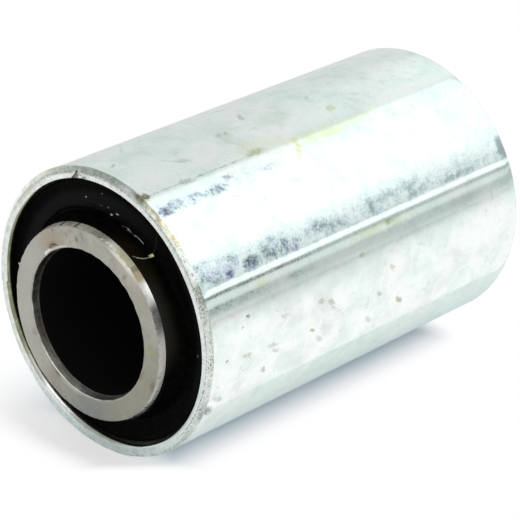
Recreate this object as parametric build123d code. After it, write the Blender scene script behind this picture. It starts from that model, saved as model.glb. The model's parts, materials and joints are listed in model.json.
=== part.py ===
from build123d import *
import os

# Rubber metal bush: a steel sleeve and a thick steel tube with rubber bonded between
# them. Millimetres. Z is the axis of the bolt bore, and the origin is halfway along it.

# Inner tube, clamped end to end by its bolt
bore_diameter = 30.8
tube_wall = 5.1
tube_overhang = 4.45
tube_edge_break = 0.45
bore_lead_length = 1.5
bore_lead_depth = 0.4

# Rubber between the tube and the sleeve
rubber_thickness = 7.0

# Outer sleeve, pressed into the eye that carries the bush
sleeve_wall = 2.5
sleeve_length = 94.0
lead_in_length = 0.75
lead_in_depth = 1.05
mouth_radius = 0.5

# The sleeve's axis lies this far from the tube's, along X, as the mould left it
axis_offset = 0.75

# Rubber ends: a collar climbs the tube, a moulding groove rings its foot, and a shallow
# dish fills the space out to the sleeve's wall. Depths are below the sleeve's end.
bare_tube_end = 1.4
collar_lip = 0.35
collar_foot = 1.2
collar_hollow = 0.15
groove_width = 0.8
groove_depth = 0.45
dish_inner_depth = 1.45
dish_outer_depth = 1.7
dish_sag = 0.4

# Places that several pieces share, worked out from the bolt outwards
bore_radius = bore_diameter / 2
tube_radius = bore_radius + tube_wall
cavity_radius = tube_radius + rubber_thickness
sleeve_radius = cavity_radius + sleeve_wall
sleeve_end = sleeve_length / 2
tube_end = sleeve_end + tube_overhang


def turned(upper):
    """Turn a section about Z: its upper half is drawn as radius and height."""
    section = upper + mirror(upper, about=Plane.XZ)
    return revolve(Plane.XZ * section, Axis.Z)


def outer_sleeve():
    """Steel sleeve with a tapered lead-in outside each end and a rounded inner edge."""
    section = make_face(
        Polyline(
            (cavity_radius, 0),
            (sleeve_radius, 0),
            (sleeve_radius, sleeve_end - lead_in_length),
            (sleeve_radius - lead_in_depth, sleeve_end),
            (cavity_radius, sleeve_end),
            close=True,
        )
    )
    inner_edge = section.vertices().group_by(Axis.Y)[-1].sort_by(Axis.X)[0]
    section = fillet(inner_edge, mouth_radius)
    return Pos(axis_offset, 0, 0) * turned(section)


def inner_tube():
    """Thick steel tube with a broken outer edge and a lead-in at each end of its bore."""
    section = make_face(
        Polyline(
            (bore_radius, 0),
            (tube_radius, 0),
            (tube_radius, tube_end - tube_edge_break),
            (tube_radius - tube_edge_break, tube_end),
            (bore_radius + bore_lead_depth, tube_end),
            (bore_radius, tube_end - bore_lead_length),
            close=True,
        )
    )
    return turned(section)


def rubber_body():
    """Rubber bonded to both steels: the collars follow the tube, the dishes the sleeve."""
    dish_inner = Vector(tube_radius, sleeve_end - dish_inner_depth)
    dish_outer = Vector(cavity_radius, sleeve_end - dish_outer_depth)
    filling = make_face(
        Polyline(dish_outer, (cavity_radius, 0), (0, 0), (0, dish_inner.Y), dish_inner)
        + SagittaArc(dish_inner, dish_outer, -dish_sag)
    )

    lip = Vector(tube_radius + collar_lip, tube_end - bare_tube_end)
    foot = Vector(tube_radius + collar_foot, dish_inner.Y)
    collar = make_face(
        Polyline(lip, (0, lip.Y), (0, 0), (foot.X, 0), foot)
        + SagittaArc(foot, lip, collar_hollow)
    )

    groove = Pos(foot.X + groove_width / 2, foot.Y) * Rectangle(groove_width, 2 * groove_depth)
    core = Cylinder(tube_radius, 2 * tube_end)
    return Pos(axis_offset, 0, 0) * turned(filling) + turned(collar) - turned(groove) - core


nodes = {
    "outer_sleeve": outer_sleeve(),
    "inner_tube": inner_tube(),
    "rubber_body": rubber_body(),
}

os.makedirs("parts", exist_ok=True)
for name, solid in nodes.items():
    export_step(solid, f"parts/{name}.step")
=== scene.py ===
import json
import math
from types import SimpleNamespace

import bpy
import numpy as np
from mathutils import Matrix, Vector


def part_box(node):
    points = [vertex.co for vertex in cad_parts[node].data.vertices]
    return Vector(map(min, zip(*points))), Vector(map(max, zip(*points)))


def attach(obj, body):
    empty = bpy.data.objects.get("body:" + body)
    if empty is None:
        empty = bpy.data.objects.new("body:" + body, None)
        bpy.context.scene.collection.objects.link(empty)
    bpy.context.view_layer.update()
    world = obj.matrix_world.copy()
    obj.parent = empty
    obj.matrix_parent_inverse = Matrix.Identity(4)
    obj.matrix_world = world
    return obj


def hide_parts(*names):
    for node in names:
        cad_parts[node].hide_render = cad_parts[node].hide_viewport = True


# Rubber metal bush lying on a pale bench: a zinc-plated sleeve, a bare steel tube and the
# black rubber bonded between them. Z is the bolt bore's axis, as in the part's source.
# Meshes are in metres. Sizes and places below are in millimetres, and turns are in degrees
# round the axis, from +X towards the front, which is -Y.

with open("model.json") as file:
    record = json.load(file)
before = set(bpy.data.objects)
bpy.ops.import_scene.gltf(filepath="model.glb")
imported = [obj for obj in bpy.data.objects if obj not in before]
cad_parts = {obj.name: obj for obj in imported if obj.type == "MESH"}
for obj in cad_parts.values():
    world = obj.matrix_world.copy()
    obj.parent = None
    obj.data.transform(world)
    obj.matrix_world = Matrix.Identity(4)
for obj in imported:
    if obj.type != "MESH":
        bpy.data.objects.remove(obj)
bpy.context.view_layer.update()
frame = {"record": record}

MM = 0.001
TO_MM = 1 / MM
AROUND_STEPS = 720
ALL_ROUND = np.linspace(0, 2 * math.pi, AROUND_STEPS, endpoint=False)


def half_size(node, axis):
    """Half of a node's box along an axis, in millimetres."""
    low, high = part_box(node)
    return round((high[axis] - low[axis]) / 2 / MM, 2)


mounts = {mount["name"]: mount for mount in frame["record"]["mounts"]}
BORE_RADIUS = mounts["bolt_bore"]["dims"]["r_mm"]
SLEEVE_RADIUS = mounts["sleeve_outside"]["dims"]["r_mm"]
AXIS_OFFSET = mounts["sleeve_outside"]["pos_m"][0] / MM
TUBE_RADIUS = half_size("inner_tube", 1)
TUBE_END = half_size("inner_tube", 2)
SLEEVE_END = half_size("outer_sleeve", 2)

# The shown wall is half a millimetre thicker inwards than the plain solid's
WALL_INSIDE = half_size("rubber_body", 1) - 0.5


# -------- shapes


def wander(seed, slowest, fastest):
    """Sum of cosines round the circle, one for each whole number of waves from slowest to
    fastest, with random sizes and phases, scaled to swing by about 1 either way."""
    rng = np.random.default_rng(seed)
    waves = np.arange(slowest, fastest + 1)
    sizes = rng.normal(size=waves.size)
    phases = rng.uniform(0, 2 * math.pi, waves.size)
    total = (sizes * np.cos(ALL_ROUND[:, None] * waves + phases)).sum(-1)
    return total / (1.6 * math.sqrt((sizes**2).sum() / 2))


def hump(value, centre, half_width):
    """Bell that is 1 at centre and fades to nothing about two half widths away."""
    return np.exp(-(((value - centre) / half_width) ** 2))


def turn_hump(centre, half_width):
    """The same bell round the circle, with angles in degrees."""
    away = (np.degrees(ALL_ROUND) - centre + 180) % 360 - 180
    return hump(away, 0, half_width)


def ramp(value, low, high):
    """Straight rise from 0 at low to 1 at high."""
    return np.clip((value - low) / (high - low), 0, 1)


def by_turn(*stops):
    """Value that changes evenly from stop to stop round the circle and closes on itself. A
    stop is (degrees, value)."""
    degrees, values = np.array(stops).T
    return np.interp(np.degrees(ALL_ROUND), degrees, values, period=360)


def divided(corners, steps):
    """Closed profile through corners (radius, height), with the run from each corner to the
    next cut into its number of steps."""
    runs = []
    for here, there, count in zip(corners, np.roll(corners, -1, 0), steps):
        share = np.linspace(0, 1, count, endpoint=False)[:, None, None]
        runs.append(here + share * (there - here))
    return np.concatenate(runs)


def add_ring(name, centre_x, radius, height, node, material):
    """Closed ring of quads over a grid of points: x = centre_x + radius cos T, y = -radius
    sin T. Rows run along the profile, columns run round the axis, and both wrap. Faces are
    turned outwards by the sign of the volume that they enclose."""
    x = centre_x + radius * np.cos(ALL_ROUND)
    y = -radius * np.sin(ALL_ROUND)
    points = np.stack([x, y, height], -1).reshape(-1, 3) * MM
    corner = np.arange(len(points)).reshape(x.shape)
    ahead = np.roll(corner, -1, 1)
    quads = np.stack([corner, ahead, np.roll(ahead, -1, 0), np.roll(corner, -1, 0)], -1)
    quads = quads.reshape(-1, 4)
    a, b, c, d = (points[quads[:, k]] for k in range(4))
    volume = (np.cross(b - a, c - a) * a).sum() + (np.cross(c - a, d - a) * a).sum()
    if volume < 0:
        quads = quads[:, ::-1]
    mesh = bpy.data.meshes.new(name)
    mesh.from_pydata(points, [], quads)
    mesh.polygons.foreach_set("use_smooth", np.ones(len(quads), bool))
    mesh.update()
    mesh.materials.append(material)
    piece = bpy.data.objects.new(name, mesh)
    bpy.context.collection.objects.link(piece)
    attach(piece, "root")
    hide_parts(node)


# Full lead-in outside the sleeve's end: how far in from its corner, in radius and length
LEAD_IN = [(1.14, 0), (1.04, 0.03), (0.95, 0.09), (0.11, 0.68), (0.03, 0.76), (0, 0.9), (0, 2.44)]


def sleeve_end():
    """Upper half of the sleeve's section at each turn, from inside to outside. The mouth is a
    quarter of an ellipse, nearly sharp on one side and rounded on the other. The lead-in is
    cut to a share of its full size that changes with the turn."""
    start = by_turn((0, 27.4), (20, 27.65), (60, 27.6), (90, 27.4), (110, 27.45), (130, 27.62),
                    (150, 27.75), (190, 27.7), (215, 27.2), (235, 27), (320, 27), (345, 27.1))
    mouth_radius = by_turn((0, 0.25), (20, 0.12), (150, 0.15), (190, 0.5), (228, 1.25),
                           (255, 1.25), (320, 1), (345, 0.5))
    mouth_length = by_turn((0, 0.4), (20, 0.15), (150, 0.2), (190, 0.6), (228, 1.2), (255, 1.2),
                           (320, 1), (345, 0.7))
    share = by_turn((0, 1), (150, 0.95), (178, 0.5), (240, 0.4), (265, 0.6), (300, 0.9))
    sweep = np.linspace(0, math.pi / 2, 9)[:, None]
    mouth = [
        start + mouth_radius * (1 - np.cos(sweep)),
        SLEEVE_END - mouth_length * (1 - np.sin(sweep)),
    ]
    inside = [[[WALL_INSIDE], [SLEEVE_END - 1.7]]] + 0 * ALL_ROUND
    corner = np.array([[SLEEVE_RADIUS], [SLEEVE_END]])
    lead_in = corner - np.array(LEAD_IN)[:, :, None] * share
    return np.concatenate([inside, np.stack(mouth, 1), lead_in])


def make_sleeve():
    """Section of the sleeve's wall carried round the sleeve's own axis. Its edges and its end
    face wander a little, as a sawn and plated edge does, with two nicks in the near face."""
    near = sleeve_end()
    far = near[::-1] * [[[1], [-1]]]
    near_steps = [12] + [2] * 8 + [14, 3, 3, 10, 3, 3, 1, 12]
    far_steps = [1, 3, 3, 10, 3, 3, 10] + [1] * 8 + [8, 3]
    profile = divided(np.concatenate([near, far]), near_steps + far_steps)
    radius, height = profile[:, 0], profile[:, 1]
    near_rim = ramp(height, 45.9, 46.5)
    rims = ramp(abs(height), 45.9, 46.5)
    outwards = np.sign(height) * rims
    bevel = outwards * hump(radius, 29.5, 0.45)
    face = outwards * hump(radius, 28.3, 0.6)
    nicks = turn_hump(20.5, 1.1) + 0.6 * turn_hump(24, 1.4)
    height = height + bevel * (0.08 * wander(11, 2, 40) + 0.02 * wander(12, 60, 160))
    height = height + face * (0.01 * wander(13, 20, 160) - 0.3 * near_rim * nicks)
    radius = radius - 0.03 * rims * hump(radius, SLEEVE_RADIUS, 0.3) * wander(14, 5, 60)
    add_ring("plated_sleeve", AXIS_OFFSET, radius, height, "outer_sleeve",
             zinc_material())


# Near end of the tube: lead into the bore, as distances out from the bore's wall and down
# from the end, and the worn outer edge, as distances in from the outer wall and down
BORE_LEAD = [(0, 2.15), (0.01, 1.9), (0.36, 0.2), (0.46, 0.05), (0.62, 0)]
OUTER_TAPER = [(0.52, 0), (0.44, 0.03), (0.39, 0.11), (0.06, 1.5), (0.02, 1.65), (0, 1.85)]


def make_tube():
    """Profile of the thick tube carried round the bore's axis: a long shallow taper outside
    and a short lead into the bore at each end. Both edges of the near end are uneven, with a
    nick in each."""
    near = [(BORE_RADIUS + out, TUBE_END - down) for out, down in BORE_LEAD]
    near += [(TUBE_RADIUS - back, TUBE_END - down) for back, down in OUTER_TAPER]
    far = [(radius, -height) for radius, height in near[::-1]]
    near_steps = [3, 12, 3, 3, 26, 3, 3, 12, 3, 3, 10]
    far_steps = [3, 3, 6, 3, 3, 10, 3, 3, 6, 3, 10]
    profile = divided(np.array(near + far)[:, :, None], near_steps + far_steps)
    radius, height = profile[:, 0], profile[:, 1]
    near_end = ramp(height, 49.9, 50.7)
    outer_edge = near_end * hump(radius, TUBE_RADIUS - 0.42, 0.12)
    inner_edge = near_end * hump(radius, BORE_RADIUS + 0.44, 0.2)
    inner_lip = near_end * hump(radius, BORE_RADIUS + 0.55, 0.3)
    drift = by_turn((0, -0.25), (30, -0.2), (60, -0.05), (90, 0.15), (120, 0.25), (150, 0.15),
                    (180, -0.05), (230, 0.1), (270, 0), (340, -0.15))
    height = height - outer_edge * 0.04 * (1 + wander(21, 3, 50))
    height = height - inner_edge * (0.05 * (1 + wander(22, 3, 40)) + 0.35 * turn_hump(355, 4))
    radius = radius + inner_lip * drift
    radius = radius + outer_edge * (0.5 * turn_hump(324, 0.6) - 0.04 * (1 + wander(23, 5, 120)))
    add_ring("bare_tube", 0, radius, height, "inner_tube", steel_material())


# Foot of the rubber's collar and its end at the wall: radius, and depth below the sleeve's end
GROOVE = [(21.7, 1.5), (21.74, 1.8), (21.84, 1.92), (21.96, 1.95), (22.08, 1.92), (22.16, 1.8),
          (22.2, 1.55)]
FLASH = [(22.22, 1.42), (22.26, 1.36), (22.32, 1.42), (22.4, 1.54), (22.52, 1.6)]
WALL_FILM = [(26.84, 1.68), (26.94, 1.6), (26.99, 1.5), (27, 1.44)]


# The collar's top above the sleeve's end and its height down to the foot, and the dish's edge
# below the sleeve's end, its fall out to the wall and its sag
COLLAR_TOP = 2.85
COLLAR_HEIGHT = 4.2
DISH_EDGE = 1.45
DISH_FALL = 0.25
DISH_SAG = 0.4


def rubber_end():
    """Radius and height of one rubber end, from the tube outwards to the sleeve's wall: the
    collar's lip and hollow flank, the groove at its foot with a torn flash on its outer side,
    the shallow dish, which is a parabola under a sloping chord, and the thin film that the
    rubber leaves up the wall."""
    climb = np.linspace(0, 1, 24)
    flank = TUBE_RADIUS - 0.04 + 0.3 * np.minimum(1, climb * 6) + 0.9 * climb**1.25
    collar = [
        flank - 0.15 * np.sin(math.pi * climb),
        SLEEVE_END + COLLAR_TOP - COLLAR_HEIGHT * ramp(climb, 0.06, 1),
    ]
    dish = np.linspace(22.7, 26.7, 28)
    chord = (dish - TUBE_RADIUS) / (WALL_INSIDE - TUBE_RADIUS)
    sag = DISH_SAG * 4 * chord * (1 - chord)
    dish = [dish, SLEEVE_END - DISH_EDGE - DISH_FALL * chord - sag]
    foot = [0, SLEEVE_END] + np.array(GROOVE + FLASH) * [1, -1]
    film = [0, SLEEVE_END] + np.array(WALL_FILM) * [1, -1]
    points = np.concatenate([np.transpose(collar), foot, np.transpose(dish), film])
    return points[:, :1], points[:, 1:]


def make_rubber():
    """Rubber end carried round both ways and joined by the bonded walls. The centre of each
    ring of points slides from the tube's axis to the sleeve's as the ring grows. The collar's
    foot wanders in and out with the turn, and its groove closes up on the front side."""
    radius, height = rubber_end()
    foot_shift = by_turn((0, 0), (14, -0.3), (28, -0.55), (43, -0.82), (54, -0.9), (65, -0.85),
                         (90, -0.4), (110, 0.1), (125, 0.4), (150, 0.15), (185, -0.7),
                         (240, -0.8), (300, -0.3), (340, 0.1))
    opened = by_turn((0, 1), (35, 1.1), (50, 0.9), (64, 0.15), (104, 0.1), (114, 0.8), (150, 1),
                     (190, 0.8), (230, 0.4), (330, 0.8))
    wide = by_turn((0, 0.3), (20, 0.5), (40, 0.3), (52, 0), (340, 0))
    ragged = wander(31, 3, 60) + 0.6 * wander(32, 80, 180)
    drag = ramp(radius, 20.7, 21.7) * ramp(radius, 25.5, 22.5)
    outer = ramp(radius, 22.0, 22.2) * ramp(radius, 24.6, 22.6)
    groove = hump(radius, 21.95, 0.24) * (height < SLEEVE_END - 1.55)
    flash = hump(radius, 22.32, 0.12)
    near_height = height + groove * 0.35 * (1 - opened)
    near_height = near_height + flash * (opened * (0.1 + 0.2 * ragged) - 0.2 * (1 - opened))
    near_radius = radius + outer * wide + flash * 0.15 * opened * wander(33, 6, 120)
    near_radius = near_radius + drag * foot_shift
    far_height = height + flash * (0.1 + 0.14 * wander(34, 3, 120))
    far_radius = radius + drag * 0.4 * wander(35, 1, 4)
    radius = np.concatenate([near_radius, far_radius[::-1]])
    height = np.concatenate([near_height, -far_height[::-1]])
    slide = ramp(radius, 21.8, 26.3)
    slide = slide * slide * (3 - 2 * slide)
    add_ring("bonded_rubber", AXIS_OFFSET * slide, radius, height, "rubber_body",
             rubber_material())


# -------- shading helpers


class Wire:
    """Output of a node. A sum or a product of wires and numbers places a Math node in their
    tree and gives its output, so that a pattern is written as a formula."""

    def __init__(self, socket):
        self.socket = socket

    def __add__(self, other):
        return math_node("ADD", self, other)

    def __sub__(self, other):
        return math_node("SUBTRACT", self, other)

    def __mul__(self, other):
        return math_node("MULTIPLY", self, other)

    def __truediv__(self, other):
        return math_node("DIVIDE", self, other)


def feed(socket, value):
    """Link a socket to a wire, or set it to a number, a direction or a colour (r, g, b)."""
    if isinstance(value, Wire):
        socket.id_data.links.new(value.socket, socket)
    elif socket.type == "RGBA":
        socket.default_value = (*value, 1)
    else:
        socket.default_value = value


def add_node(kind, values, **settings):
    """Place a node in the tree of the first wire among its values, give it its settings and
    feed its sockets. values is {socket's name or number: value}."""
    tree = next(v.socket.id_data for v in values.values() if isinstance(v, Wire))
    node = tree.nodes.new("ShaderNode" + kind)
    for key, setting in settings.items():
        setattr(node, key, setting)
    for key, value in values.items():
        feed(node.inputs[key], value)
    return node


def source(tree, kind):
    """Outputs, by name, of a node that needs no inputs."""
    return {socket.name: Wire(socket) for socket in tree.nodes.new("ShaderNode" + kind).outputs}


def math_node(operation, *values, clamp=False):
    node = add_node("Math", dict(enumerate(values)), operation=operation, use_clamp=clamp)
    return Wire(node.outputs[0])


def largest(first, *others):
    """Largest of some wires and numbers."""
    for other in others:
        first = math_node("MAXIMUM", first, other)
    return first


def distance(across, along):
    """Square root of the sum of two squares."""
    return math_node("SQRT", across * across + along * along)


def spread(value, low, high, to_low=0, to_high=1, eased=True):
    """Map low..high to to_low..to_high, held outside it and eased at both ends."""
    values = {"Value": value, "From Min": low, "From Max": high, "To Min": to_low, "To Max": to_high}
    node = add_node("MapRange", values, interpolation_type="SMOOTHSTEP" if eased else "LINEAR")
    return Wire(node.outputs["Result"])


def window(value, low, high, soft):
    """1 between low and high, fading to 0 over soft either side."""
    return spread(value, low - soft, low + soft) * spread(value, high - soft, high + soft, 1, 0)


def blend(amount, under, over):
    """Colour with another laid over it by an amount."""
    return Wire(add_node("Mix", {0: amount, 6: under, 7: over}, data_type="RGBA").outputs[2])


def mix_shaders(amount, first, second):
    return Wire(add_node("MixShader", {0: amount, 1: first, 2: second}).outputs[0])


def noise(place, scale, detail=3, roughness=0.5, distortion=0):
    values = {"Vector": place, "Scale": scale, "Detail": detail, "Roughness": roughness,
              "Distortion": distortion}
    return Wire(add_node("TexNoise", values).outputs["Fac"])


def split(place):
    """The three parts of a place or a direction."""
    return [Wire(socket) for socket in add_node("SeparateXYZ", {0: place}).outputs]


def new_material(name):
    """Material with a Principled shader wired to its output. Gives the material, the shader
    and the place on the object."""
    material = bpy.data.materials.new(name)
    material.use_nodes = True
    tree = material.node_tree
    tree.nodes.clear()
    output = tree.nodes.new("ShaderNodeOutputMaterial")
    shader = tree.nodes.new("ShaderNodeBsdfPrincipled")
    tree.links.new(shader.outputs["BSDF"], output.inputs["Surface"])
    return material, shader, source(tree, "TexCoord")["Object"]


def dress(shader, colour, roughness, relief, strength):
    """Feed a shader its colour, its roughness and a bump of up to a tenth of a millimetre."""
    bump = add_node("Bump", {"Height": relief, "Strength": strength, "Distance": 0.1 * MM})
    feed(shader.inputs["Base Color"], colour)
    feed(shader.inputs["Roughness"], roughness)
    feed(shader.inputs["Normal"], Wire(bump.outputs["Normal"]))


# Kinds of the node groups' sockets, where they aren't plain numbers
KINDS = {"Place": "Vector", "Colour": "Color", "Tint": "Color"}


def new_group(name, inputs, outputs):
    """Node group whose sockets have these names. Gives it and its inputs by name."""
    group = bpy.data.node_groups.new(name, "ShaderNodeTree")
    for labels, side in ((inputs, "INPUT"), (outputs, "OUTPUT")):
        for label in labels:
            kind = "NodeSocket" + KINDS.get(label, "Float")
            group.interface.new_socket(label, in_out=side, socket_type=kind)
    entry = group.nodes.new("NodeGroupInput")
    return group, {label: Wire(entry.outputs[label]) for label in inputs}


def close_group(group, **results):
    """Wire up what a node group puts out."""
    leave = group.nodes.new("NodeGroupOutput")
    for label, value in results.items():
        feed(leave.inputs[label], value)
    return group


def use_group(group, *values):
    """Place a node group, feed its sockets in their order and give its outputs. Sockets past
    the last value stay at 0."""
    node = add_node("Group", dict(enumerate(values)), node_tree=group)
    return [Wire(socket) for socket in node.outputs]


def build_round_place():
    """Place on a turned piece: degrees round the axis, from -60 to 300, distance from the
    axis and height along it, both in millimetres."""
    group, given = new_group("round place", ["Place", "Axis X"], ["Around", "Radius", "Along"])
    x, y, z = split(given["Place"])
    x = x * TO_MM - given["Axis X"]
    y = y * -TO_MM
    turn = math_node("ARCTAN2", y, x) * math.degrees(1)
    turn = math_node("LESS_THAN", turn, -60) * 360 + turn
    return close_group(group, Around=turn, Radius=distance(x, y), Along=z * TO_MM)


SPOT = ["Centre Across", "Centre Along", "Half Width", "Half Length", "Level"]


def spot_mask(given):
    """Soft bell on two values, such as the angle round and the height along: 1 near its
    centre, a half at some two thirds of the half sizes and 0 just beyond them. Slant leans it."""
    across = given["Across"] - given["Centre Across"]
    along = given["Along"] - given["Centre Along"] - across * given["Slant"]
    away = distance(across / given["Half Width"], along / given["Half Length"])
    return spread(away, 0.25, 1.15, 1, 0)


def build_stain():
    """Stain: a soft spot of its own tint laid on a colour. Ragged, a value about 0, eats
    into the spot's edge. The blend sits inside, so that a long row of stains stays cheap."""
    names = ["Colour", "Across", "Along", "Ragged", *SPOT, "Tint", "Slant"]
    group, given = new_group("stain", names, ["Colour"])
    mask = spot_mask(given)
    mask = math_node("MULTIPLY_ADD", mask, given["Ragged"], mask, clamp=True) * given["Level"]
    return close_group(group, Colour=blend(mask, given["Colour"], given["Tint"]))


def build_heap():
    """Adds a soft spot to a running total."""
    group, given = new_group("heap", ["Total", "Across", "Along", *SPOT, "Slant"], ["Total"])
    return close_group(group, Total=spot_mask(given) * given["Level"] + given["Total"])


def build_stroke():
    """Thin soft line of its own tint laid on a colour. Both places are in millimetres: the
    mask is 1 within the half width of the segment from Start to End, and fades to 0 at 2.4
    half widths."""
    ends = ["Start Across", "Start Along", "End Across", "End Along"]
    names = ["Colour", "Across", "Along", *ends, "Half Width", "Level", "Tint"]
    group, given = new_group("stroke", names, ["Colour"])
    reach_across = given["End Across"] - given["Start Across"]
    reach_along = given["End Along"] - given["Start Along"]
    across = given["Across"] - given["Start Across"]
    along = given["Along"] - given["Start Along"]
    length = reach_across * reach_across + reach_along * reach_along
    share = across * reach_across + along * reach_along
    share = math_node("DIVIDE", share, length, clamp=True)
    off = distance(across - share * reach_across, along - share * reach_along)
    mask = spread(off / given["Half Width"], 1, 2.4, 1, 0) * given["Level"]
    return close_group(group, Colour=blend(mask, given["Colour"], given["Tint"]))


ROUND_PLACE = build_round_place()
STAIN = build_stain()
HEAP = build_heap()
STROKE = build_stroke()


def lay(group, under, where, rows, mask=None):
    """Place a group once for each row of a table, each on what the one before gave, and keep
    them to a mask. The group's inputs are what lies under, where (across and along, then
    ragged for stains) and the row's values."""
    result = under
    for row in rows:
        (result,) = use_group(group, result, *where, *row)
    return result if mask is None else blend(mask, under, result)


# -------- zinc plate

OLIVE = (0.4, 0.42, 0.22)
BROWN = (0.46, 0.42, 0.33)
GREY = (0.38, 0.43, 0.42)
SLATE = (0.2, 0.23, 0.27)
YELLOW = (0.78, 0.82, 0.48)
PALE = (1, 1, 1)
MIST = (0.74, 0.86, 0.835)
ROSE = (0.84, 0.83, 0.8)
SMOKE = (0.66, 0.73, 0.71)

# Tables of marks. A stain's row is its centre across and along, half width, half length,
# strength and colour, and it may end with a slant. A row of the bloom ends with its density
# instead. A stroke's row is its start and its end, both across and along, half width,
# strength and colour.

# Broad clouds on the sleeve's wall: degrees round and millimetres along
WALL_CLOUDS = [
    (17, 41, 8, 8, 0.5, ROSE, 0.3),
    (45, 37, 13, 9, 0.55, PALE),
    (46, 25, 10, 7, 0.65, PALE, 0.3),
    (53, 8, 5, 9, 0.5, PALE),
    (49, -6, 9, 10, 0.45, PALE),
    (54.5, -32, 4.5, 18, 0.6, PALE),
    (30, 37, 5, 9, 0.5, MIST, 0.3),
    (22, 26, 9, 4.5, 0.5, MIST, 0.3),
    (34, 15.5, 9, 6, 0.5, MIST, 0.2),
    (42, 2.5, 6, 5, 0.6, (0.72, 0.82, 0.75), 0.2),
    (43, 17, 6, 3, 0.5, (0.68, 0.74, 0.69), 0.3),
    (53, 13, 5, 8, 0.45, (0.82, 0.86, 0.62), -0.3),
    (56.5, 2, 2.4, 12, 0.35, (0.82, 0.84, 0.56)),
    (113, 30, 7, 14, 0.4, SMOKE),
    (115, 6, 6, 14, 0.4, SMOKE),
    (121, 25, 5, 6, 0.4, SMOKE, -0.3),
    (123, 14, 8, 3.6, 0.55, SMOKE, -0.3),
    (134, 14, 5, 2.6, 0.5, SMOKE, -0.4),
    (142, 37.5, 6, 3.2, 0.5, SMOKE, -0.4),
    (144, 21, 4, 5, 0.5, SMOKE, -0.4),
    (138, 1, 7, 2.4, 0.4, SMOKE, -0.35),
    (130, -26, 9, 4.5, 0.35, SMOKE, -0.3),
    (119, -29, 7, 5, 0.4, SMOKE, -0.3),
    (142, -16, 7, 8, 0.4, SMOKE, -0.4),
    (111, 42, 4, 9, 0.5, PALE),
    (106.5, -30, 3, 5, 0.5, (0.6, 0.7, 0.68)),
    (106.5, 8, 3, 12, 0.5, PALE),
]

# Small stains and pits on the same wall
WALL_SPOTS = [
    (33.5, 42.8, 1.4, 0.8, 0.75, GREY, 0.5),
    (23, 35.2, 2.1, 0.6, 0.4, GREY, 0.4),
    (40.3, 17.2, 1.5, 0.8, 0.6, GREY, 0.4),
    (40.6, 15.3, 1.3, 0.6, 0.5, OLIVE, 0.4),
    (34, 7.3, 3.2, 0.9, 0.6, GREY, 0.25),
    (38, -10, 1.7, 0.7, 0.5, GREY, 0.5),
    (49, -11.2, 2.8, 1.3, 0.6, (0.6, 0.64, 0.32), 0.35),
    (46.5, 30.5, 2.2, 1.5, 0.4, GREY, -0.5),
    (138.8, 31.5, 2.2, 0.9, 0.73, OLIVE, -0.2),
    (119.2, 26.4, 1.7, 1.3, 0.57, BROWN, -0.5),
    (120.6, 15.7, 1.7, 1.2, 0.68, BROWN, -0.3),
    (122.8, 12.8, 2.2, 1, 0.68, BROWN, -0.35),
    (126, 11.8, 1.7, 0.8, 0.52, OLIVE, -0.35),
    (131.2, 18.1, 1.2, 0.8, 0.84, OLIVE, -0.6),
    (136.8, 15.5, 2.4, 1, 0.47, GREY, -0.5),
    (128.8, -1.9, 1.7, 0.9, 0.78, BROWN, -0.4),
    (119.8, -5.6, 1.7, 0.9, 0.63, OLIVE, -0.3),
    (136.6, -9, 2.2, 1.1, 0.78, OLIVE, -0.4),
    (139, 0.4, 2.5, 0.9, 0.47, GREY, -0.4),
    (143.2, 43.4, 2.4, 1.3, 0.63, GREY, -0.4),
    (147.5, 45.4, 3.4, 1.6, 0.85, SLATE, -0.3),
    (127.2, 42.6, 0.9, 0.6, 0.84, GREY),
    (128.6, 36.9, 1.1, 1.5, 0.57, BROWN, -0.6),
    (116.6, 38.1, 0.6, 0.7, 0.73, GREY),
    (113.2, 36.2, 0.8, 0.6, 0.73, SLATE),
    (129.5, 29.6, 1.5, 1.7, 0.52, GREY, -0.4),
    (132.6, 28.4, 1.3, 1.2, 0.52, GREY, -0.4),
    (110, 3, 1.3, 1.3, 0.52, OLIVE),
    (102, -6.8, 1.5, 1.5, 0.95, (0.26, 0.3, 0.12)),
    (103.6, 31, 2.4, 2, 0.6, YELLOW),
    (102.8, -4, 2.2, 12, 0.5, YELLOW),
    (61.5, 25.6, 1.6, 1.4, 0.75, (0.36, 0.34, 0.4), -0.5),
    (61, 5.2, 6, 1, 0.7, (0.72, 0.74, 0.36), 0.3),
    (60.4, -2, 2.4, 7, 0.65, (0.78, 0.82, 0.44)),
    (58.6, -10, 3.4, 14, 0.4, (0.86, 0.88, 0.55)),
    (55.6, 15, 1.8, 3, 0.5, OLIVE),
    (56.4, 34.5, 1.8, 2.4, 0.55, GREY),
    (56.2, 45.5, 2.6, 1.3, 1, (0.2, 0.19, 0.1)),
]

# Bloom on the same wall
BLOOM = [
    (65.4, 44, 3.2, 3.4, 0.62),
    (94.5, -14, 4.2, 44, 0.25),
    (63, 41, 2.4, 2.6, 0.4),
    (64.8, 37, 3.2, 4.6, 0.3),
    (65, 30.6, 3, 4.6, 0.55),
    (64, 25.6, 2.8, 2.6, 0.22),
    (64.2, 15.2, 2.8, 3.4, 0.36),
    (95.2, 32, 3.8, 2.8, 0.75),
    (94.5, 42.5, 4.5, 5, 0.42),
    (88.5, 44.5, 3, 3, 0.42),
    (96.2, 38.2, 2, 1.7, 0.65),
    (92, 37, 4, 3.6, 0.36),
    (93, 26, 6, 4.6, 0.44),
    (95, 21.5, 4, 4.6, 0.4),
    (92, 12.8, 3, 4.4, 0.36),
    (94.6, 8, 4, 5, 0.22),
    (93, -3.2, 5, 1.3, 0.42),
    (92, -8, 3, 4, 0.26),
    (91.4, -15, 3, 4, 0.34),
    (95.8, -17, 2.2, 4, 0.38),
    (96.4, -31, 1.8, 8, 0.42),
    (93.5, -45.6, 9, 1.9, 0.95),
]

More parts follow.
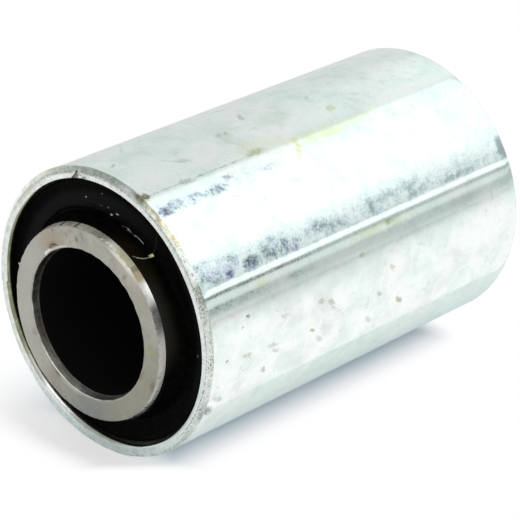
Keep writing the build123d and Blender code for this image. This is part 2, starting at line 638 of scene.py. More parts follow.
# Scratches on the wall, in millimetres round and along
WALL_SCRATCHES = [
    (4.2, 24, 10.5, 28.6, 0.1, 0.4, (0.45, 0.47, 0.4)),
    (7, 31, 12.5, 35.6, 0.1, 0.25, GREY),
    (6, 35, 11, 40.5, 0.08, 0.3, PALE),
    (5.5, 36.2, 8.6, 39.4, 0.1, 0.25, GREY),
    (22, 34, 24.5, 31, 0.12, 0.25, GREY),
    (49.2, 25.6, 51.2, 25.5, 0.12, 0.6, SLATE),
]

# Lead-in: degrees round and millimetres along. The rows at 98.5 and 168 degrees are painted shade:
# darker where the lead-in mirrors the dark strip below the window and the bench's shadow.
LEAD_IN_MARKS = [
    (40, 46.6, 18, 4, 0.45, (0.5, 0.55, 0.46)),
    (4, 46.4, 12, 2.4, 0.6, (0.8, 0.84, 0.62)),
    (17, 46.6, 9, 2.4, 0.5, (0.8, 0.84, 0.78)),
    (51, 46.75, 8, 0.5, 0.9, PALE),
    (56, 46.2, 6, 0.9, 0.9, (0.2, 0.19, 0.11)),
    (69.5, 46.5, 12, 2.4, 0.85, (0.86, 0.8, 0.52)),
    (64, 46.35, 6, 0.5, 0.7, (0.5, 0.45, 0.22)),
    (76, 46.4, 7, 0.5, 0.6, (0.56, 0.5, 0.26)),
    (92, 46.4, 7, 0.9, 0.8, PALE),
    (98.5, 46.5, 5, 1.6, 0.8, (0.32, 0.34, 0.3)),
    (145, 46.6, 24, 3, 0.5, (0.85, 0.9, 0.86)),
    (147.5, 46.3, 7, 0.9, 0.6, (0.26, 0.28, 0.26)),
    (168, 46.6, 12, 3, 0.5, (0.48, 0.52, 0.49)),
    (265, 46.6, 26, 4, 0.5, (0.9, 0.92, 0.88)),
    (322, 46.6, 48, 4, 1, PALE),
    (-38, 46.6, 48, 4, 1, PALE),
]

# End face: degrees round and millimetres from the axis
FACE_MARKS = [
    (23, 27.7, 7, 0.9, 0.7, (0.25, 0.25, 0.21)),
    (-12, 28.6, 16, 0.8, 0.5, (0.48, 0.48, 0.36)),
    (12, 28.9, 18, 0.5, 0.5, (0.35, 0.37, 0.3)),
    (10, 28.3, 12, 1, 0.5, (0.95, 0.98, 0.96)),
    (138, 28.3, 52, 2.2, 0.9, (1, 1, 0.985)),
    (160, 27.8, 25, 0.6, 0.6, (0.45, 0.48, 0.42)),
    (205, 28.4, 26, 1.6, 0.5, (0.62, 0.66, 0.63)),
    (240, 28.6, 14, 1.6, 0.35, (0.72, 0.78, 0.76)),
    (300, 28.4, 34, 1, 0.3, (0.8, 0.8, 0.7)),
]

# Nicks in the end face: millimetres round at NICK_RADIUS and from the axis
NICK_RADIUS = 28.3
FACE_NICKS = [
    (9.3, 27.6, 10.9, 29, 0.15, 0.9, (0.05, 0.05, 0.04)),
    (10, 27.5, 10.9, 28.3, 0.16, 0.85, (0.07, 0.07, 0.06)),
    (11.6, 27.5, 13.2, 28.1, 0.13, 0.7, (0.14, 0.14, 0.12)),
    (10.6, 28.5, 12.2, 28.2, 0.12, 0.6, (0.18, 0.18, 0.16)),
]

# Mouth inside: degrees round and millimetres along. The last three rows are a painted highlight: pale
# at 242 degrees where the rounded mouth mirrors the window, greyer beside it.
MOUTH_MARKS = [
    (300, 46.2, 60, 6, 1, (0.24, 0.24, 0.15)),
    (-60, 46.2, 60, 6, 1, (0.24, 0.24, 0.15)),
    (-12, 46.2, 24, 4, 0.7, (0.4, 0.42, 0.3)),
    (242, 46.6, 16, 4, 1, PALE),
    (223, 46.6, 12, 4, 0.7, (0.62, 0.66, 0.62)),
    (261, 46.6, 9, 4, 0.8, (0.52, 0.5, 0.46)),
]


def wall_patterns(place):
    """Where a point of the sleeve lies, and the noises that the sleeve's finishes share. The
    marks' own places wobble, and ragged, cloudy and frayed eat into their edges."""
    around, radius, along = use_group(ROUND_PLACE, place, AXIS_OFFSET)
    at = SimpleNamespace(place=place, around=around, radius=radius, along=along)
    at.end = math_node("ABSOLUTE", along)
    at.near = spread(along, 0, 1)
    at.clouds = noise(place, 55, 2, 0.5, 0.3)
    at.mottle = noise(place, 165, 3, 0.6, 0.5)
    at.smear = noise(place, 430, 4, 0.65, 0.3)
    at.tooth = noise(place, 700, 4, 0.7)
    at.speckle = noise(place, 1700, 4, 0.8)
    at.cluster = noise(place, 430, 3, 0.6, 0.6)
    at.fine = noise(place, 2400, 3, 0.7)
    wobble = at.tooth - 0.5
    at.mark_around = wobble * 4 + around
    at.mark_along = wobble * -2 + along
    at.line_around = wobble + around
    at.ragged = (at.smear - 0.5) * 3 + wobble
    at.cloudy = (at.mottle - 0.5) * 3 + wobble
    at.frayed = (at.speckle - 0.5) * 5 + at.ragged
    at.near_wall = spread(along, -47, -45)
    return at


def cloudy_plate(at):
    """Green, rosy and pale clouds with finer mottling and grain over them, and low on the
    wall clean pale patches between brownish smudges."""
    lower = spread(at.around, 103, 112, 1, 0.8)
    colour = blend(spread(at.clouds, 0.38, 0.62), (0.8, 0.925, 0.885), (0.9, 0.935, 0.92))
    colour = blend(spread(at.mottle, 0.28, 0.5, 0.75, 0), colour, (0.97, 1, 0.99))
    colour = blend(spread(at.mottle, 0.5, 0.74, 0, 0.75) * lower, colour, (0.69, 0.78, 0.745))
    colour = blend(spread(at.smear, 0.52, 0.74, 0, 0.62) * lower, colour, (0.64, 0.72, 0.69))
    colour = blend(spread(at.smear, 0.28, 0.46, 0.4, 0), colour, (0.97, 1, 0.99))
    grain = noise(at.place, 1300, 3, 0.65)
    colour = blend(spread(grain, 0.54, 0.75, 0, 0.35), colour, (0.5, 0.56, 0.53))
    colour = lay(STAIN, colour, (at.around, at.along, at.cloudy), WALL_CLOUDS, at.near_wall)
    clean = window(at.around, 116, 146, 3) * spread(at.mottle, 0.36, 0.6, 0.85, 0.2)
    colour = blend(clean, colour, (0.965, 1, 0.985))
    smudge = spread(noise(at.place, 360, 4, 0.72, 0.9), 0.6, 0.72)
    return blend(smudge * window(at.around, 113, 146, 3) * 0.45, colour, (0.55, 0.55, 0.47))


def add_bloom(colour, at):
    """Slate bloom on a colour, in two strips along the wall. Its density comes from patches
    and is broken into speckle by two sizes of noise. Gives the colour and the bloom's mask."""
    left = window(at.mark_around, 61, 67.4, 1) * spread(at.along, 8, 22)
    strips = largest(left, window(at.mark_around, 88, 98.6, 1.2))
    density = lay(HEAP, 0, (at.around, at.along), BLOOM)
    density = density + spread(at.along, -20, 44, 0.08, 0.16, eased=False)
    level = (at.cluster - 0.5) * 1.3 + ((at.speckle - 0.5) * 1.9 + density)
    haze = spread(level, 0, 0.75) * strips
    bloom = spread(level, 0.42, 1.05) * strips
    bluish = spread(at.along, 0, 24)
    ink = blend(spread(at.cluster, 0.4, 0.6), (0.1, 0.12, 0.25), (0.1, 0.11, 0.13))
    ink = blend(bluish, (0.34, 0.41, 0.43), ink)
    colour = blend(strips * 0.8, colour, (0.86, 0.96, 0.955))
    hue = blend(spread(noise(at.place, 240), 0.42, 0.58), (0.4, 0.54, 0.53), (0.46, 0.53, 0.7))
    hue = blend(bluish, (0.42, 0.54, 0.55), hue)
    colour = blend(haze * 0.75, colour, hue)
    return blend(bloom * 0.9, colour, ink), bloom


def add_lines(colour, at):
    """Dark and thin grey lines painted along the wall where the edges of the window's bright strip are
    mirrored, broken by grain, and specks on both sides of them.
    """
    broken = spread(at.speckle, 0.4, 0.6)
    # painted reflection: dark line where the dark strip under the window's bright strip is mirrored,
    # broken by grain
    painted_strip_edge = window(at.line_around, 100.4, 101.6, 0.4) * spread(at.along, 6, 26, 0.25, 0.9)
    colour = blend(painted_strip_edge * (broken * 0.75 + 0.25), colour, (0.2, 0.22, 0.19))
    # painted reflection: thin grey line inside the mirrored bright strip
    painted_thin_edge = window(at.line_around, 98.9, 99.2, 0.25) * spread(at.along, 10, 26, 0, 0.5)
    colour = blend(painted_thin_edge, colour, (0.55, 0.58, 0.55))
    specks = spread(at.line_around, 104.5, 105) * spread(at.line_around, 109, 105)
    specks = specks * spread(at.along, 24, 36)
    low_specks = window(at.line_around, 105.2, 107, 0.4) * window(at.along, 17, 24, 1.5)
    ledge = window(at.line_around, 56, 56.9, 0.3) * spread(at.along, 8, 24)
    specks = ledge * 0.8 + (low_specks * 0.6 + specks)
    broken = broken * spread(at.cluster, 0.4, 0.58, 0.3, 1)
    return blend(specks * (broken * 0.65 + 0.12), colour, (0.26, 0.29, 0.27))


def cut_edge(at, pits, painted_glints):
    """Lead-in: dull and pitted, with painted glints, yellow passivate and pale and dark flecks."""
    cut = blend(spread(at.tooth, 0.38, 0.66), (0.5, 0.55, 0.49), (0.8, 0.85, 0.8))
    cut = lay(STAIN, cut, (at.around, at.along, at.ragged), LEAD_IN_MARKS, at.near)
    flecks = window(at.around, 58, 84, 4) * at.near
    cut = blend(flecks * spread(at.speckle, 0.44, 0.54) * 0.6, cut, (1, 1, 0.94))
    cut = blend(flecks * spread(at.speckle, 0.6, 0.68) * 0.8, cut, (0.36, 0.26, 0.12))
    cut = blend(pits, cut, (0.12, 0.13, 0.11))
    return blend(painted_glints, cut, (1, 1, 0.98))


def end_face(at, pits, painted_glints):
    """Flat ring: paler than the lead-in, with a dark ragged line where the two meet and fainter
    painted glints.
    """
    ring = blend(spread(at.tooth, 0.35, 0.68), (0.66, 0.7, 0.66), (0.86, 0.9, 0.875))
    ring = lay(STAIN, ring, (at.around, at.radius, at.ragged), FACE_MARKS, at.near)
    edge = window(at.radius, 28.7, 29, 0.15) * window(at.around, 5, 165, 6)
    edge = edge * spread(at.fine, 0.44, 0.56, 0.1, 0.75)
    ring = blend(edge * at.near, ring, (0.2, 0.21, 0.18))
    ring = blend(pits * 0.55, ring, (0.25, 0.26, 0.22))
    return blend(painted_glints * 0.5, ring, (1, 1, 0.98))


def mouth_film(at):
    """Drab film inside the mouth, with a highlight painted pale in it round 242 degrees."""
    film = blend(spread(at.tooth, 0.4, 0.65), (0.42, 0.43, 0.33), (0.62, 0.64, 0.54))
    return lay(STAIN, film, (at.around, at.along, at.ragged), MOUTH_MARKS, at.near)


def zinc_material():
    """Thin bright zinc plate: greenish silver, cloudy, with slate bloom in patches, yellow
    passivate at the lead-in, small olive specks, and a dull cut edge."""
    material, shader, place = new_material("zinc_plate")
    at = wall_patterns(place)
    face = spread(at.end, 46.88, 46.97)
    bevel = spread(at.end, 46, 46.3) * spread(at.radius, 28.2, 28.6)

    colour, bloom = add_bloom(cloudy_plate(at), at)
    colour = add_lines(colour, at)
    spots_at = (at.mark_around, at.mark_along, at.frayed)
    colour = lay(STAIN, colour, spots_at, WALL_SPOTS, at.near_wall)
    wall_arc = at.around * math.radians(SLEEVE_RADIUS)
    colour = lay(STROKE, colour, (wall_arc, at.along), WALL_SCRATCHES)

    rougher = window(at.around, 88, 165, 6) * at.near
    pits = spread(at.fine, 0.56, 0.64) * (rougher * 0.4 + 0.5)
    # painted glints: pale specks that stand in for the glitter of the cut edge and the face
    painted_glints = spread(noise(place, 2900, 2, 0.6), 0.58, 0.66) * 0.75
    colour = blend(bevel, colour, cut_edge(at, pits, painted_glints))
    colour = blend(face, colour, end_face(at, pits, painted_glints))
    round_mouth = spread(at.radius, 28.35, 28) * window(at.around, 205, 400, 8)
    inside = largest(spread(at.radius, 27.7, 27.45), round_mouth) * spread(at.end, 46.99, 46.94)
    colour = blend(inside, colour, mouth_film(at))
    face_arc = at.around * math.radians(NICK_RADIUS)
    near_rim = spread(at.along, 45.8, 46.2)
    colour = lay(STROKE, colour, (face_arc, at.radius), FACE_NICKS, near_rim)

    rough = bloom * 0.15 + spread(at.clouds, 0.3, 0.7, 0.05, 0.1)
    rough = inside * 0.2 + (face * 0.22 + (bevel * 0.22 + rough))
    edges = largest(bevel, face)
    dress(shader, colour, rough, at.fine * edges * 0.8 + (at.tooth * edges + at.mottle), 0.12)
    shader.inputs["Metallic"].default_value = 1.0
    return material


# -------- bare steel

# Tube's face: degrees round and millimetres from the axis
TUBE_FACE_MARKS = [
    (165, 18, 56, 9, 0.7, (0.35, 0.315, 0.235)),
    (213, 18, 24, 9, 0.7, (0.265, 0.265, 0.25)),
    (242, 18, 18, 9, 0.6, (0.3, 0.29, 0.245)),
    (247, 17.5, 8, 4, 0.4, (0.24, 0.2, 0.18)),
    (315, 18.5, 60, 9, 0.5, (0.46, 0.45, 0.42)),
    (-45, 18.5, 60, 9, 0.5, (0.46, 0.45, 0.42)),
    (75, 19.4, 20, 2, 0.5, (0.47, 0.43, 0.41)),
    (95, 17.6, 14, 4, 0.4, (0.35, 0.33, 0.25)),
    (3, 17.6, 16, 3.4, 0.6, (0.34, 0.285, 0.205)),
    (1, 16.7, 6, 1, 0.7, (0.2, 0.17, 0.11)),
    (27.4, 17.6, 2, 0.9, 0.8, (0.12, 0.13, 0.1)),
    (18.4, 18.4, 2.2, 0.8, 0.5, (0.34, 0.22, 0.18)),
    (21.7, 19.1, 1.8, 0.7, 0.5, (0.34, 0.2, 0.18)),
    (33, 18, 6, 2.4, 0.35, (0.27, 0.27, 0.22)),
    (145, 16.3, 6, 0.9, 0.6, (0.22, 0.2, 0.16)),
    (73, 17.6, 2, 1.2, 0.5, (0.2, 0.17, 0.14)),
    (230, 15.9, 16, 0.7, 0.6, (0.62, 0.58, 0.48)),
    (246, 16, 4, 0.8, 0.7, (0.16, 0.12, 0.13)),
    (280, 16.6, 4, 0.8, 0.5, (0.24, 0.21, 0.18)),
    (123.5, 17.7, 2, 0.9, 0.8, (0.42, 0.4, 0.1), -0.3),
    (66, 19.8, 16, 0.8, 0.8, (0.8, 0.77, 0.66)),
    (145, 19.7, 5, 1, 0.6, (0.2, 0.16, 0.12)),
]

# Cracks and the burred edge of the bore on the same face: millimetres round at
# TUBE_LINE_RADIUS and from the axis
TUBE_LINE_RADIUS = 18.0
TUBE_FACE_LINES = [
    (-2.9, 16, -1, 16.02, 0.22, 0.9, (0.78, 0.77, 0.72)),
    (-1, 16.02, 4.9, 15.95, 0.12, 0.7, (0.62, 0.6, 0.56)),
    (-0.8, 16.5, 0.4, 16.9, 0.07, 0.8, (0.05, 0.05, 0.03)),
    (0.6, 16.85, 1.5, 16.7, 0.08, 0.9, (0.04, 0.04, 0.03)),
    (1.6, 16.7, 2.1, 16.35, 0.07, 0.8, (0.06, 0.05, 0.04)),
    (2.3, 19.8, 2.2, 19.3, 0.07, 0.8, (0.1, 0.08, 0.06)),
    (2.2, 19.3, 1.8, 18.1, 0.04, 0.5, (0.16, 0.14, 0.11)),
    (10, 19.2, 10.3, 18.3, 0.06, 0.7, (0.14, 0.15, 0.12)),
    (10.3, 18.3, 10.8, 17.6, 0.08, 0.5, (0.18, 0.18, 0.14)),
    (6.6, 17.3, 6.5, 16.5, 0.05, 0.7, (0.1, 0.09, 0.07)),
]

# Tube's outer taper: degrees round and millimetres along. The dark band at 103 degrees is painted
# reflection, where the taper mirrors the room's dark strip.
TUBE_WALL_MARKS = [
    (18, 50.5, 70, 9, 1, (0.56, 0.53, 0.46)),
    (14.5, 50.8, 1.8, 3, 0.85, (0.08, 0.08, 0.07)),
    (26.5, 50.8, 1.5, 3, 0.85, (0.08, 0.08, 0.07)),
    (20, 50.8, 5, 2, 0.6, (0.3, 0.28, 0.25)),
    (56, 51.1, 9, 0.8, 0.8, (0.6, 0.58, 0.48)),
    (66, 50.4, 10, 9, 0.9, (0.31, 0.3, 0.2)),
    (78, 50.5, 5, 9, 0.9, (0.3, 0.22, 0.135)),
    (73.5, 50.5, 2.6, 9, 0.7, (0.12, 0.1, 0.07)),
    (89, 50.3, 8, 9, 0.7, (0.6, 0.6, 0.57)),
    (87, 49.9, 7, 1, 0.7, (0.95, 0.95, 0.92)),
    (103, 50.4, 10, 2.8, 1, (0.1, 0.1, 0.095)),
    (170, 50.4, 26, 9, 0.6, (0.75, 0.73, 0.72)),
    (240, 50.5, 12, 9, 0.7, (0.6, 0.64, 0.58)),
    (280, 50.5, 40, 9, 0.8, (0.12, 0.12, 0.08)),
]

# Lead into the bore: degrees round and millimetres along
LEAD_MARKS = [
    (212, 50.5, 44, 8, 0.9, (0.95, 0.92, 0.87)),
    (243, 50.5, 16, 6, 0.5, (0.56, 0.51, 0.42)),
    (278, 50.5, 14, 6, 0.6, (0.4, 0.33, 0.29)),
]


def turning_streaks(around, radius, along):
    """Streaks that cross the turning: noise on a ring of 22 units, with the radius and the
    height halved."""
    angle = around * math.radians(1)
    values = {0: math_node("COSINE", angle) * 22, 1: math_node("SINE", angle) * 22,
              2: radius * 0.5 + along * 0.5}
    return noise(Wire(add_node("CombineXYZ", values).outputs[0]), 1, 4, 0.65)


def steel_material():
    """Bare turned steel: a dull sawn face, a taper outside with a film of rubber on one side,
    a lead into the bore, and the bore painted near black as shade."""
    material, shader, place = new_material("turned_steel")
    around, radius, along = use_group(ROUND_PLACE, place)
    end = math_node("ABSOLUTE", along)
    near = spread(along, 0, 1)
    clouds = noise(place, 180, 4, 0.6)
    spokes = turning_streaks(around, radius, along)
    fine = noise(place, 2000, 3, 0.7)
    speck = noise(place, 700, 4, 0.7)
    wobble = speck - 0.5
    ragged = (clouds - 0.5) * 1.2 + wobble

    colour = blend(spread(clouds, 0.32, 0.68), (0.43, 0.415, 0.355), (0.34, 0.335, 0.295))
    colour = blend(spread(spokes, 0.42, 0.7, 0, 0.5), colour, (0.47, 0.455, 0.42))
    colour = blend(spread(speck, 0.5, 0.72, 0, 0.45), colour, (0.28, 0.265, 0.235))
    colour = blend(spread(fine, 0.56, 0.7, 0, 0.45), colour, (0.18, 0.17, 0.15))
    face_arc = around * math.radians(TUBE_LINE_RADIUS) + wobble * 0.5
    colour = lay(STAIN, colour, (around, radius, ragged), TUBE_FACE_MARKS, near)
    colour = lay(STROKE, colour, (face_arc, radius), TUBE_FACE_LINES, near)

    taper = spread(radius, 20.02, 20.12)
    bright = blend(spread(spokes, 0.4, 0.7), (0.4, 0.385, 0.36), (0.52, 0.5, 0.475))
    bright = lay(STAIN, bright, (around, along, ragged), TUBE_WALL_MARKS, near)
    colour = blend(taper, colour, bright)
    lead = spread(end, 51.4, 51.3) * spread(radius, 17, 16.5)
    inner = blend(spread(speck, 0.4, 0.65), (0.62, 0.6, 0.53), (0.36, 0.35, 0.31))
    inner = lay(STAIN, inner, (around, along, ragged), LEAD_MARKS, near)
    colour = blend(lead, colour, inner)
    # painted shade: the bore's wall is coloured near black and not metallic, standing in for the shade
    # deep inside it
    bore = spread(radius, 15.5, 15.42) * spread(end, 49.75, 49.55)
    colour = blend(bore, colour, (0.004, 0.004, 0.004))

    matt = taper * window(around, -60, 40, 10) * near
    feed(shader.inputs["Metallic"], matt * -0.5 + 1 - bore)
    shader.inputs["Specular IOR Level"].default_value = 0.05
    rough = bore * 0.5 + (taper * -0.1 + spread(spokes, 0.3, 0.7, 0.28, 0.4))
    dress(shader, colour, rough, spokes + speck, 0.25)
    return material


# -------- rubber

# Glints painted as pale spots on crumbs of flash on the dish: degrees round and millimetres from the
# tube's axis
RUBBER_CRUMBS = [
    (19.6, 24, 0.6, 0.2, 0.9, (0.5, 0.5, 0.47)),
    (30.8, 25.3, 0.5, 0.18, 0.6, (0.34, 0.34, 0.32)),
    (34.7, 22.9, 0.7, 0.18, 0.7, (0.28, 0.28, 0.26)),
    (29.8, 22.8, 1.6, 0.2, 0.35, (0.12, 0.12, 0.11)),
    (38.2, 22, 1.2, 0.15, 0.9, (0.5, 0.5, 0.47)),
    (41.2, 22.4, 1.3, 0.14, 0.95, (0.6, 0.6, 0.57)),
    (126, 24.2, 0.8, 0.25, 0.5, (0.25, 0.25, 0.24)),
]

# Glint painted along the torn edge at the collar's foot, in the first four rows, and the loose end of
# the lint: millimetres round at
# # FOOT_RADIUS and from the axis
FOOT_RADIUS = 21.0
FOOT_STROKES = [
    (16.9, 20.99, 18.6, 20.985, 0.045, 0.95, (0.66, 0.66, 0.63)),
    (18.4, 20.985, 20.8, 20.975, 0.075, 0.9, (0.6, 0.6, 0.57)),
    (20.6, 20.985, 23, 20.985, 0.045, 0.9, (0.58, 0.58, 0.55)),
    (16.7, 21.05, 17.1, 21, 0.07, 0.95, (0.65, 0.65, 0.62)),
    (25.9, 20.95, 26.05, 21.05, 0.15, 1, (0.8, 0.78, 0.36)),
    (26, 21.2, 25.4, 22.6, 0.04, 0.3, (0.1, 0.08, 0.05)),
    (25.4, 22.6, 24.1, 25.7, 0.04, 0.25, (0.08, 0.07, 0.04)),
]

# Hair of lint on the collar's flank: millimetres round and along
LINT = [
    (24.5, 49.2, 25.1, 48.7, 0.05, 0.6, (0.4, 0.38, 0.33)),
    (25.1, 48.7, 25.7, 47.8, 0.05, 0.8, (0.55, 0.53, 0.47)),
    (25.7, 47.8, 26, 47, 0.05, 0.8, (0.55, 0.53, 0.47)),
    (26, 47, 26.1, 46.2, 0.05, 0.7, (0.48, 0.46, 0.41)),
]


def rubber_material():
    """Satin black rubber with a fine moulded skin. Its upper left side on the dish, a band on the
    collar's right flank and a band on the dish near the wall are painted lighter as sheen, and
    a brownish reflection is painted on the collar. Glints are painted on torn crumbs of flash
    by the groove and along the collar's foot, and one hair of lint lies across the collar."""
    material, shader, place = new_material("black_rubber")
    around, radius, along = use_group(ROUND_PLACE, place)
    near = spread(along, 0, 1)
    skin = noise(place, 700, 3, 0.6)
    broad = noise(place, 120)
    colour = blend(spread(skin, 0.4, 0.7), (0.0012, 0.0013, 0.0011), (0.0034, 0.0033, 0.0028))
    # painted sheen: the dish's upper left side is coloured lighter, standing in for the sheen it shows
    # there
    painted_lit_side = largest(window(around, -100, 66, 24), window(around, 322, 460, 24))
    colour = blend(painted_lit_side * window(radius, 22.2, 25.4, 1), colour, (0.0095, 0.0095, 0.0098))
    # painted sheen: a lighter vertical band on the collar's right flank, then a lighter band on the
    # dish near the wall
    painted_sheen = window(around, 74, 128, 12) * spread(along, 46.4, 49.4)
    colour = blend(painted_sheen, colour, (0.016, 0.017, 0.013))
    painted_sheen = window(around, 80, 150, 14) * window(radius, 24.2, 26.2, 0.8)
    colour = blend(painted_sheen, colour, (0.008, 0.008, 0.008))
    # painted reflection: the brownish tint on the collar's flank stands in for the tube's brown wall
    # mirrored in it
    collar = spread(along, 45.8, 48.5) * window(around, 52, 84, 8)
    colour = blend(collar * 0.8, colour, (0.01, 0.007, 0.003))

    arc = around * math.radians(FOOT_RADIUS)
    flat = lay(STAIN, colour, (around, radius, 0), RUBBER_CRUMBS)
    flat = lay(STROKE, flat, (arc, radius), FOOT_STROKES)
    steep = lay(STROKE, colour, (arc, along), LINT)
    colour = blend(near, colour, blend(spread(along, 45.8, 46.4), flat, steep))
    shader.inputs["Specular IOR Level"].default_value = 0.01
    dress(shader, colour, spread(broad, 0.35, 0.65, 0.34, 0.46), skin, 0.3)
    return material


# -------- bench, room and camera

# Way up from the bench as the bush lies on its side. It is a hair short of 1 in length, which
# puts the bench 0.005 mm inside the sleeve's lowest line.
BENCH_UP = Vector((0.8337, -0.5519, 0))
BENCH_ALONG = Vector((0, 0, 1))
BENCH_SIDE = BENCH_ALONG.cross(BENCH_UP)
BENCH_HALF = 0.36


def bench_material():
    """White paper, seen only from its upper side. It shows white away from the bush and keeps
    the bush's shadow near it, with a bluish shade colour painted beside the barrel. Where the
    sleeve and the steel mirror it, it is tinted, painted lighter from the contact line out to a
    painted shadow edge under the sleeve's side, and painted dimmer far off."""
    material, shader, place = new_material("bench_paper")
    tree = material.node_tree
    surface = shader.outputs["BSDF"].links[0].to_socket
    shader.inputs["Roughness"].default_value = 0.9
    shader.inputs["Specular IOR Level"].default_value = 0.1
    x, y, z = split(place)
    across = y * (BENCH_SIDE.y / MM) + x * (BENCH_SIDE.x / MM)
    along = z * TO_MM
    side = math_node("ABSOLUTE", across)
    rays = source(tree, "LightPath")
    glossy = rays["Is Glossy Ray"]

    # distance out of the shadow's outline, front, back, near and far
    out_across = largest(across * -1.05 - 10.6, (across - 7) * 0.3, 0)
    out_along = largest(along - SLEEVE_END, (along + 37) * -1.5, 0)
    away = largest(distance(out_across, out_along), (along - across) * 1.3 - 67.3)
    bare = largest(spread(away, -2, 12), spread(along, 36, 45, 0, 0.52))
    seen = largest(rays["Is Camera Ray"], rays["Is Transmission Ray"]) * bare

    # painted shade: the paper's colour, seen only where the shadow is kept, is bluish beside the
    # barrel and neutral in front
    tint = blend(spread(along, 40, 48), (0.72, 0.775, 0.865), (0.9, 0.88, 0.875))
    mirror_tint = blend(spread(side, 12, 24), (0.83, 0.93, 0.99), (0.88, 0.915, 0.89))
    feed(shader.inputs["Base Color"], blend(glossy, tint, mirror_tint))
    # painted light in reflections: white laid into what the metal mirrors, rising away from the
    # contact line, with a painted shadow edge at the sleeve's side
    under = spread(side, 10, 28.5, 0.26, 0.43)
    under = math_node("ADD", under, spread(side, 28.2, 28.8, 0, 0.6), clamp=True)
    # painted shade in reflections: the paper that the metal mirrors far off to the sides is dimmed
    left = spread(across, 100, 330) * spread(along, 0, -60)
    painted_mirror_level = largest(spread(across, -100, -330), left) * -0.34 + 1
    white = add_node("Emission", {"Color": blend(glossy, (1, 1, 1), painted_mirror_level)})
    amount = math_node("ADD", seen, glossy * under, clamp=True)
    paper = mix_shaders(amount, Wire(shader.outputs[0]), Wire(white.outputs[0]))
    backfacing = source(tree, "NewGeometry")["Backfacing"]
    feed(surface, mix_shaders(backfacing, paper, source(tree, "BsdfTransparent")["BSDF"]))
    return material


def make_bench():
    """Flat square under the sleeve's lowest line."""
    middle = Vector((AXIS_OFFSET, 0, 0)) * MM - BENCH_UP * SLEEVE_RADIUS * MM
    corners = [
        middle + BENCH_ALONG * (BENCH_HALF * a) + BENCH_SIDE * (BENCH_HALF * b)
        for a, b in ((-1, -1), (-1, 1), (1, 1), (1, -1))
    ]
    mesh = bpy.data.meshes.new("bench")
    mesh.from_pydata(corners, [], [(0, 1, 2, 3)])
    mesh.update()
    if mesh.polygons[0].normal.dot(BENCH_UP) < 0:
        mesh.flip_normals()
    mesh.materials.append(bench_material())
    bench = bpy.data.objects.new("bench", mesh)
    bpy.context.collection.objects.link(bench)


# The camera looks along a line that leans by CAMERA_TILT from the bore's axis, turned about
# that line by CAMERA_ROLL. Its shifts to the right and up are in millimetres.
CAMERA_TILT = math.radians(48.312)
CAMERA_ROLL = math.radians(-113.769)
CAMERA_AWAY = 526.382
CAMERA_SHIFT = (-1.258, -2.951)
CAMERA_LENS = 175.116
VIEW_BACK = Vector((0, -math.sin(CAMERA_TILT), math.cos(CAMERA_TILT)))

# Room levels by the angle at which the sleeve's polished wall shows them, in degrees
ROOM_STOPS = [
    (0, 0.95), (4, 0.84), (10, 0.79), (15, 0.765), (20, 0.76), (40, 0.77), (53, 0.79),
    (56, 0.84), (57.2, 1.1), (62, 1.18), (66, 1.28), (84, 1.28), (88.5, 1.1), (92, 0.98),
    (97, 0.86), (97.9, 0.68), (98.4, 1.25), (100.1, 1.25), (100.6, 0.6), (101.6, 0.6),
    (102.4, 0.84), (104.4, 0.82), (105.1, 0.58), (107.5, 0.6), (110, 0.74), (115, 0.83),
    (119, 0.88), (170, 0.88),
]


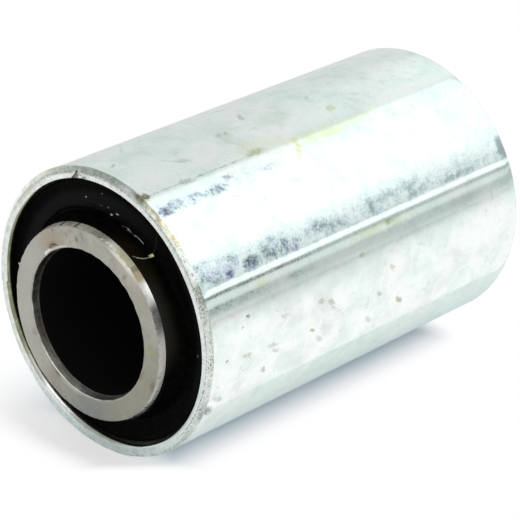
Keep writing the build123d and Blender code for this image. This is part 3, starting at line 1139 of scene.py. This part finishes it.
def room_level(direction):
    """Light from each direction of the room: the stops, then soft parts of them made dimmer
    or brighter by height. A direction (sin 2T, cos 2T) across the bore's axis is what a
    polished wall shows T degrees round."""
    x, y, height = split(direction)
    turn = math_node("ARCTAN2", x, y) * (math.degrees(1) / 2)
    turn = math_node("LESS_THAN", turn, 0) * 180 + turn
    ramp_node = add_node("ValToRGB", {0: turn / 180})
    elements = ramp_node.color_ramp.elements
    elements.remove(elements[-1])
    for degrees, level in ROOM_STOPS:
        stop = elements.new(degrees / 180) if degrees else elements[0]
        # halved here and doubled below, because a ramp's colours end at 1
        stop.color = (level / 2, level / 2, level / 2, 1)
    shelf = window(turn, 34, 54, 4) * window(height, -0.46, -0.12, 0.06)
    upper = window(turn, 24, 56, 3) * spread(height, 0, 0.3)
    far_wall = window(turn, 34, 56, 8) * spread(height, -0.66, -0.75)
    left_wall = window(turn, -5, 18, 3) * spread(height, -0.5, -0.2)
    level = Wire(ramp_node.outputs["Color"]) * 2
    for part, change in ((shelf, -0.86), (upper, -0.35), (far_wall, 0.28), (left_wall, 0.3)):
        level = level * (part * change + 1)
    return level


def make_world():
    """Room round the bench: pale walls, a wide soft window beside the sleeve, brightest low
    down, a slim bright strip under it and a dim band down to the bench's edge. The wall that
    the bush is seen against is plain white, also where polished metal shows it."""
    world = bpy.data.worlds.new("room")
    bpy.context.scene.world = world
    world.use_nodes = True
    tree = world.node_tree
    tree.nodes.clear()
    output = tree.nodes.new("ShaderNodeOutputWorld")
    direction = source(tree, "TexCoord")["Generated"]
    room = add_node("Background", {"Strength": room_level(direction), "Color": (0.965, 1, 0.99)})
    backdrop = tree.nodes.new("ShaderNodeBackground")
    feed(backdrop.inputs["Color"], (1, 1, 1))
    behind = add_node("VectorMath", {0: direction, 1: -VIEW_BACK}, operation="DOT_PRODUCT")
    rays = source(tree, "LightPath")
    mirrored = spread(Wire(behind.outputs["Value"]), 0.985, 1) * rays["Is Glossy Ray"]
    seen = largest(rays["Is Camera Ray"], rays["Is Transmission Ray"], mirrored)
    feed(output.inputs["Surface"], mix_shaders(seen, Wire(room.outputs[0]), Wire(backdrop.outputs[0])))


def make_camera():
    """Long lens, tipped over so that the bore's axis slants across the frame."""
    camera = bpy.data.objects.new("camera", bpy.data.cameras.new("camera"))
    bpy.context.collection.objects.link(camera)
    level = Vector((1, 0, 0))
    upright = VIEW_BACK.cross(level)
    right = level * math.cos(CAMERA_ROLL) + upright * math.sin(CAMERA_ROLL)
    up = VIEW_BACK.cross(right)
    place = Matrix((right, up, VIEW_BACK)).transposed().to_4x4()
    shift_right, shift_up = CAMERA_SHIFT
    place.translation = (VIEW_BACK * CAMERA_AWAY + right * shift_right + up * shift_up) * MM
    camera.matrix_world = place
    camera.data.sensor_width = 36.0
    camera.data.lens = CAMERA_LENS
    camera.data.clip_start = 0.01
    camera.data.clip_end = 10.0
    bpy.context.scene.camera = camera


make_sleeve()
make_tube()
make_rubber()
make_bench()
make_world()
make_camera()
bpy.context.scene.view_settings.view_transform = "Standard"
